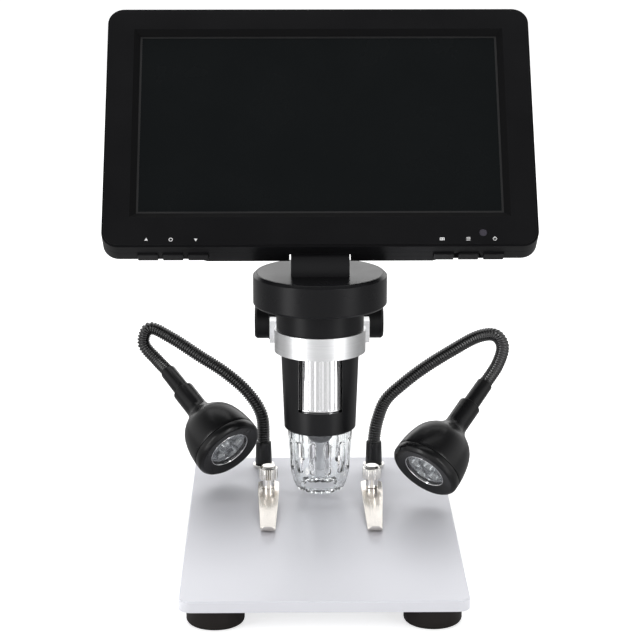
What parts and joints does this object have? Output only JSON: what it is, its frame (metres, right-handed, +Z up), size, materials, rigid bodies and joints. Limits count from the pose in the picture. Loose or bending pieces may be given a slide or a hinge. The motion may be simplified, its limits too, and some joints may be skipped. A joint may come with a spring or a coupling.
{
  "type": "lcd digital microscope",
  "caption": "Bench digital microscope with a tilting flat screen on a round head, a rack column, two gooseneck lamps and stage clips on a metal base.",
  "frame": {"origin": "on the surface that the feet stand on, under the middle of the object's overall box", "axes": "+X to the right as the user faces the screen, +Y to the rear, away from the user, +Z up"},
  "size_m": [0.181, 0.191, 0.2153],
  "materials": {
    "base_aluminium": "fine brushed, clear anodised",
    "foot_rubber": "matt moulded rubber",
    "screw_steel": "bright zinc-plated",
    "column_steel": "hard-chromed rod",
    "black_plastic": "fine matt moulded ABS",
    "satin_black": "satin black anodised",
    "nickel": "nickel-plated spring steel",
    "ring_aluminium": "bead-blasted",
    "bush_brass": "turned",
    "board": "green solder mask",
    "chip": "moulded package with a small window",
    "clear_plastic": "clear moulded acrylic",
    "wheel_silver": "bright plated plastic",
    "lens_grey": "dark grey moulded",
    "optical_glass": "coated glass",
    "display": "dark display with a satin film",
    "battery_wrap": "heat-shrunk pack",
    "dark_window": "smoked plastic",
    "reflector": "vacuum-plated cups"
  },
  "bodies": {
    "base": {"base_plate": "base_aluminium", "feet": "foot_rubber", "foot_screws": "screw_steel", "column": "column_steel", "column_cap": "black_plastic", "column_bolt": "screw_steel", "lamp_nuts": "nickel", "cable_glands": "foot_rubber", "clip_posts": "nickel"},
    "carriage": {"ring_bracket": "ring_aluminium", "carriage_housing": "black_plastic", "slide_bushes": "bush_brass", "shaft_bushes": "bush_brass", "carriage_screws": "screw_steel"},
    "focus_drive": {"pinion_shaft": "column_steel", "focus_knob_left": "black_plastic", "focus_knob_right": "black_plastic"},
    "head": {"head_body": "satin_black", "head_cap": "satin_black", "head_screws": "screw_steel", "tube_shell": "satin_black", "sensor_board": "board", "image_sensor": "chip", "led_ring": "board", "clear_hood": "clear_plastic"},
    "focus_wheel": {"focus_wheel": "wheel_silver"},
    "lens_carrier": {"lens_barrel": "lens_grey", "objective_lens": "optical_glass"},
    "screen": {"hinge_pin": "column_steel", "front_bezel": "black_plastic", "rear_housing": "black_plastic", "display_panel": "display", "main_board": "board", "battery": "battery_wrap", "key_board": "board", "remote_window": "dark_window", "housing_screws": "screw_steel"},
    "clip_left": {"clip_left": "nickel"},
    "clip_right": {"clip_right": "nickel"},
    "clip_knob_left": {"clip_knob_left": "nickel"},
    "clip_knob_right": {"clip_knob_right": "nickel"},
    "key_up": {"key_up": "black_plastic"},
    "key_select": {"key_select": "black_plastic"},
    "key_down": {"key_down": "black_plastic"},
    "key_photo": {"key_photo": "black_plastic"},
    "key_menu": {"key_menu": "black_plastic"},
    "key_power": {"key_power": "black_plastic"},
    "lamp_left_arm": {"lamp_left_ferrule": "satin_black", "lamp_left_neck": "satin_black"},
    "lamp_left_head": {"lamp_left_shade": "satin_black", "lamp_left_bezel": "black_plastic", "lamp_left_lens": "clear_plastic", "lamp_left_reflector": "reflector"},
    "lamp_right_arm": {"lamp_right_ferrule": "satin_black", "lamp_right_neck": "satin_black"},
    "lamp_right_head": {"lamp_right_shade": "satin_black", "lamp_right_bezel": "black_plastic", "lamp_right_lens": "clear_plastic", "lamp_right_reflector": "reflector"}
  },
  "joints": [
    {"name": "carriage_lift", "type": "slide", "parent": "base", "child": "carriage", "axis": [0, 0, 1], "range_m": [-0.003, 0.04]},
    {"name": "focus_turn", "type": "hinge", "parent": "carriage", "child": "focus_drive", "pos_m": [0, 0.0637, 0.0822], "axis": [1, 0, 0], "range_deg": [-480, 40]},
    {"name": "head_swivel", "type": "hinge", "parent": "carriage", "child": "head", "pos_m": [0, 0.0317, 0.08], "axis": [0, 0, 1], "range_deg": [-30, 30]},
    {"name": "wheel_turn", "type": "hinge", "parent": "head", "child": "focus_wheel", "pos_m": [0, 0.0317, 0.065], "axis": [0, 0, 1], "range_deg": [-180.5, 360.5]},
    {"name": "lens_focus", "type": "slide", "parent": "head", "child": "lens_carrier", "axis": [0, 0, 1], "range_m": [-0.0025, 0.005]},
    {"name": "screen_tilt", "type": "hinge", "parent": "head", "child": "screen", "pos_m": [0, 0.02785, 0.1215], "axis": [-1, 0, 0], "range_deg": [-22, 12]},
    {"name": "key_up_press", "type": "slide", "parent": "screen", "child": "key_up", "axis": [0, 0.6157, 0.788], "range_m": [0, 0.0006], "stiffness_N_per_m": 400, "springref_m": -0.0008},
    {"name": "key_select_press", "type": "slide", "parent": "screen", "child": "key_select", "axis": [0, 0.6157, 0.788], "range_m": [0, 0.0006], "stiffness_N_per_m": 400, "springref_m": -0.0008},
    {"name": "key_down_press", "type": "slide", "parent": "screen", "child": "key_down", "axis": [0, 0.6157, 0.788], "range_m": [0, 0.0006], "stiffness_N_per_m": 400, "springref_m": -0.0008},
    {"name": "key_photo_press", "type": "slide", "parent": "screen", "child": "key_photo", "axis": [0, 0.6157, 0.788], "range_m": [0, 0.0006], "stiffness_N_per_m": 400, "springref_m": -0.0008},
    {"name": "key_menu_press", "type": "slide", "parent": "screen", "child": "key_menu", "axis": [0, 0.6157, 0.788], "range_m": [0, 0.0006], "stiffness_N_per_m": 400, "springref_m": -0.0008},
    {"name": "key_power_press", "type": "slide", "parent": "screen", "child": "key_power", "axis": [0, 0.6157, 0.788], "range_m": [0, 0.0006], "stiffness_N_per_m": 400, "springref_m": -0.0008},
    {"name": "clip_left_swing", "type": "hinge", "parent": "base", "child": "clip_left", "pos_m": [-0.022, 0.0247, 0.018], "axis": [0, 0, 1], "range_deg": [-35, 20]},
    {"name": "clip_right_swing", "type": "hinge", "parent": "base", "child": "clip_right", "pos_m": [0.022, 0.0247, 0.018], "axis": [0, 0, 1], "range_deg": [-20, 35]},
    {"name": "clip_knob_left_turn", "type": "hinge", "parent": "base", "child": "clip_knob_left", "pos_m": [-0.022, 0.0247, 0.024], "axis": [0, 0, 1], "continuous": true},
    {"name": "clip_knob_right_turn", "type": "hinge", "parent": "base", "child": "clip_knob_right", "pos_m": [0.022, 0.0247, 0.024], "axis": [0, 0, 1], "continuous": true},
    {"name": "lamp_left_swing", "type": "hinge", "parent": "base", "child": "lamp_left_arm", "pos_m": [-0.0246, 0.0727, 0.02], "axis": [0, 0, 1], "range_deg": [-40, 8]},
    {"name": "lamp_right_swing", "type": "hinge", "parent": "base", "child": "lamp_right_arm", "pos_m": [0.0246, 0.0727, 0.02], "axis": [0, 0, 1], "range_deg": [-8, 40]},
    {"name": "lamp_left_bend", "type": "hinge", "parent": "lamp_left_arm", "child": "lamp_left_head", "pos_m": [-0.0752, 0.0875, 0.0731], "axis": [-1, 0, 0], "range_deg": [-2, 30], "deforming": ["lamp_left_neck"]},
    {"name": "lamp_right_bend", "type": "hinge", "parent": "lamp_right_arm", "child": "lamp_right_head", "pos_m": [0.0766, 0.0599, 0.0765], "axis": [-1, 0, 0], "range_deg": [-2, 30], "deforming": ["lamp_right_neck"]}
  ],
  "couplings": [
    {"joint": "focus_turn", "follows": "carriage_lift", "rad_per_m": -208.33},
    {"joint": "wheel_turn", "follows": "lens_focus", "rad_per_m": 1256.6}
  ]
}
